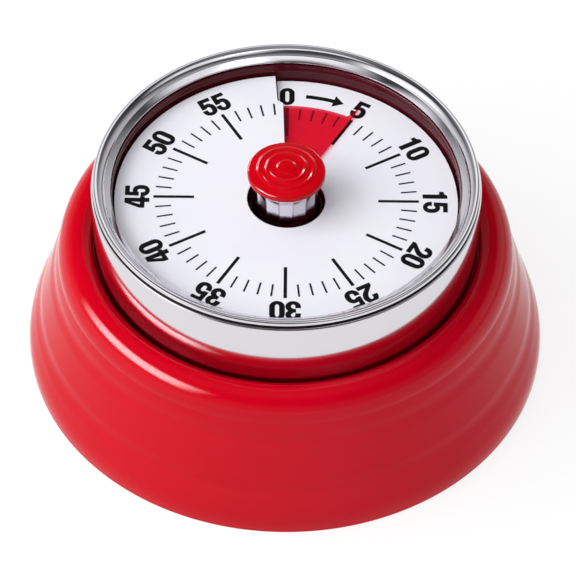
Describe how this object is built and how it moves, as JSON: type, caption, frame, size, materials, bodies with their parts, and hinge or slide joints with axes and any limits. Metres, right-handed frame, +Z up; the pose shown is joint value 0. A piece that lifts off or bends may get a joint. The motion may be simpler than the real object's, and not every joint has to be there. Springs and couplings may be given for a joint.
{
  "type": "kitchen timer",
  "caption": "Round mechanical sixty-minute kitchen timer: red shell, chrome bezel, slit dial with a red time disc, centre knob and magnet back.",
  "frame": {"origin": "centre of the base, on the plane it rests on", "axes": "+Z up along the knob's axis, +Y towards the dial's 0 mark, +X towards its 15 mark"},
  "size_m": [0.07, 0.07, 0.0326],
  "materials": {
    "red_enamel": "high-gloss baked enamel on drawn steel",
    "chrome": "polished chrome",
    "red_inner": "dark red, semi-gloss",
    "dial_white": "satin white with black print",
    "red_film": "thin translucent red film",
    "red_plastic": "glossy moulded plastic",
    "brass": "stamped, lightly brushed",
    "steel": "zinc-plated",
    "spring_steel": "blued spring steel",
    "black_plastic": "fine matte grain",
    "magnet_black": "ferrite, matte"
  },
  "bodies": {
    "case": {"body_shell": "red_enamel", "bezel_ring": "chrome", "dial_cup": "red_inner", "dial_plate": "dial_white", "dial_spacer": "red_inner", "back_cover": "black_plastic", "magnet": "magnet_black", "front_plate": "steel", "rear_plate": "steel", "mainspring": "spring_steel", "hammer_spring": "spring_steel", "detent_post": "steel", "gong": "steel", "gong_post": "brass", "gong_nut": "steel", "cover_post_1": "steel", "cover_post_2": "steel", "cover_post_3": "steel", "cover_screw_1": "steel", "cover_screw_2": "steel", "cover_screw_3": "steel", "pillar_1": "brass", "pillar_2": "brass", "pillar_3": "brass", "pillar_nut_1": "steel", "pillar_nut_2": "steel", "pillar_nut_3": "steel", "cup_screw_1": "steel", "cup_screw_2": "steel", "cup_screw_3": "steel"},
    "winding": {"knob_cap": "red_plastic", "knob_stem": "chrome", "main_arbor": "steel", "great_wheel": "brass", "clutch_washer": "spring_steel", "ratchet_wheel": "steel", "click": "steel", "trip_cam": "brass"},
    "time_disc": {"time_film": "red_film", "film_hub": "red_inner"},
    "second": {"second_wheel": "brass", "second_arbor": "steel"},
    "third": {"third_wheel": "brass", "third_arbor": "steel"},
    "escape": {"escape_wheel": "brass", "escape_arbor": "steel"},
    "balance": {"verge_arbor": "steel", "pallets": "brass", "balance_bar": "brass"},
    "hammer": {"hammer_arbor": "steel", "hammer_arm": "steel", "hammer_head": "brass", "hammer_tail": "steel"},
    "detent": {"detent_lever": "steel"}
  },
  "joints": [
    {"name": "knob_turn", "type": "hinge", "parent": "case", "child": "winding", "pos_m": [0, 0, 0.012], "axis": [0, 0, -1], "range_deg": [-30, 330]},
    {"name": "disc_lift", "type": "slide", "parent": "winding", "child": "time_disc", "axis": [0, 0, 1], "range_m": [-0.00008, 0.00092]},
    {"name": "second_turn", "type": "hinge", "parent": "case", "child": "second", "pos_m": [-0.01503, 0.00868, 0.012], "axis": [0, 0, -1], "range_deg": [-1980, 180]},
    {"name": "third_turn", "type": "hinge", "parent": "case", "child": "third", "pos_m": [-0.00665, 0.01726, 0.012], "axis": [0, 0, -1], "range_deg": [-900, 9900]},
    {"name": "escape_turn", "type": "hinge", "parent": "case", "child": "escape", "pos_m": [0.00217, 0.02069, 0.012], "axis": [0, 0, -1], "range_deg": [-50914.29, 4628.57]},
    {"name": "balance_swing", "type": "hinge", "parent": "case", "child": "balance", "pos_m": [0.00819, 0.01824, 0.012], "axis": [0, 0, 1], "range_deg": [-10, 10]},
    {"name": "hammer_swing", "type": "hinge", "parent": "case", "child": "hammer", "pos_m": [-0.00975, -0.01689, 0.012], "axis": [0, 0, 1], "range_deg": [-2, 12], "stiffness_Nm_per_rad": 0.0002},
    {"name": "detent_lift", "type": "hinge", "parent": "case", "child": "detent", "pos_m": [0.01072, -0.009, 0.012], "axis": [0, 0, 1], "range_deg": [0, 8], "stiffness_Nm_per_rad": 0.0002}
  ],
  "couplings": [
    {"joint": "disc_lift", "follows": "knob_turn", "m_per_rad": 0.00015915},
    {"joint": "second_turn", "follows": "knob_turn", "ratio": -6},
    {"joint": "third_turn", "follows": "knob_turn", "ratio": 30},
    {"joint": "escape_turn", "follows": "knob_turn", "ratio": -154.29}
  ]
}
